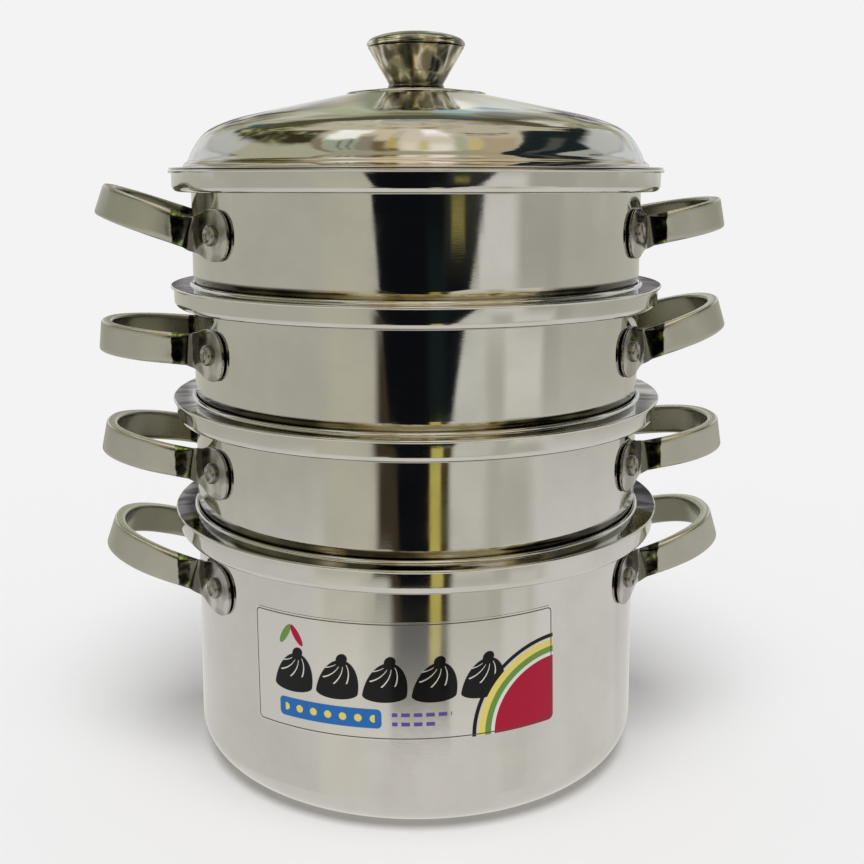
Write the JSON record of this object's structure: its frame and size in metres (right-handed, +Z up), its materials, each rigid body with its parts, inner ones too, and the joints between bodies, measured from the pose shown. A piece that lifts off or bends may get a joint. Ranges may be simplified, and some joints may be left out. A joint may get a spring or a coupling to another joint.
{
  "type": "momo steamer",
  "caption": "Polished steel dumpling steamer: a water pot, perforated tiers that stack on its folded rim, riveted loop handles, and a domed lid with a flared knob.",
  "frame": {"origin": "centre of the base pot's underside", "axes": "+Z up the stack, +X along the handles towards the right one, -Y out of the front, where the label is"},
  "size_m": [0.3171, 0.2438, 0.3561],
  "materials": {
    "vessel_steel": "mirror-polished stainless steel",
    "handle_steel": "polished stainless steel",
    "rivet_steel": "satin stainless steel",
    "lid_steel": "mirror-polished stainless steel",
    "knob_steel": "mirror-polished stainless steel",
    "fastener_steel": "plain stainless steel",
    "label_film": "printed glossy film"
  },
  "bodies": {
    "base": {"base_pot": "vessel_steel", "front_label": "label_film", "base_handle_left": "handle_steel", "base_handle_right": "handle_steel", "base_rivet_left_front": "rivet_steel", "base_rivet_left_back": "rivet_steel", "base_rivet_right_front": "rivet_steel", "base_rivet_right_back": "rivet_steel"},
    "tier_1_body": {"tier_1": "vessel_steel", "tier_1_handle_left": "handle_steel", "tier_1_handle_right": "handle_steel", "tier_1_rivet_left_front": "rivet_steel", "tier_1_rivet_left_back": "rivet_steel", "tier_1_rivet_right_front": "rivet_steel", "tier_1_rivet_right_back": "rivet_steel"},
    "tier_2_body": {"tier_2": "vessel_steel", "tier_2_handle_left": "handle_steel", "tier_2_handle_right": "handle_steel", "tier_2_rivet_left_front": "rivet_steel", "tier_2_rivet_left_back": "rivet_steel", "tier_2_rivet_right_front": "rivet_steel", "tier_2_rivet_right_back": "rivet_steel"},
    "tier_3_body": {"tier_3": "vessel_steel", "tier_3_handle_left": "handle_steel", "tier_3_handle_right": "handle_steel", "tier_3_rivet_left_front": "rivet_steel", "tier_3_rivet_left_back": "rivet_steel", "tier_3_rivet_right_front": "rivet_steel", "tier_3_rivet_right_back": "rivet_steel"},
    "lid_body": {"lid": "lid_steel", "lid_knob_cup": "knob_steel", "lid_knob_cap": "knob_steel", "lid_knob_screw": "fastener_steel", "lid_knob_washer": "fastener_steel", "lid_knob_nut": "fastener_steel"}
  },
  "joints": [
    {"name": "tier_1_lift", "type": "slide", "parent": "base", "child": "tier_1_body", "axis": [0, 0, 1], "range_m": [0, 0.08]},
    {"name": "tier_2_lift", "type": "slide", "parent": "tier_1_body", "child": "tier_2_body", "axis": [0, 0, 1], "range_m": [0, 0.08]},
    {"name": "tier_3_lift", "type": "slide", "parent": "tier_2_body", "child": "tier_3_body", "axis": [0, 0, 1], "range_m": [0, 0.08]},
    {"name": "lid_lift", "type": "slide", "parent": "tier_3_body", "child": "lid_body", "axis": [0, 0, 1], "range_m": [0, 0.08]}
  ]
}
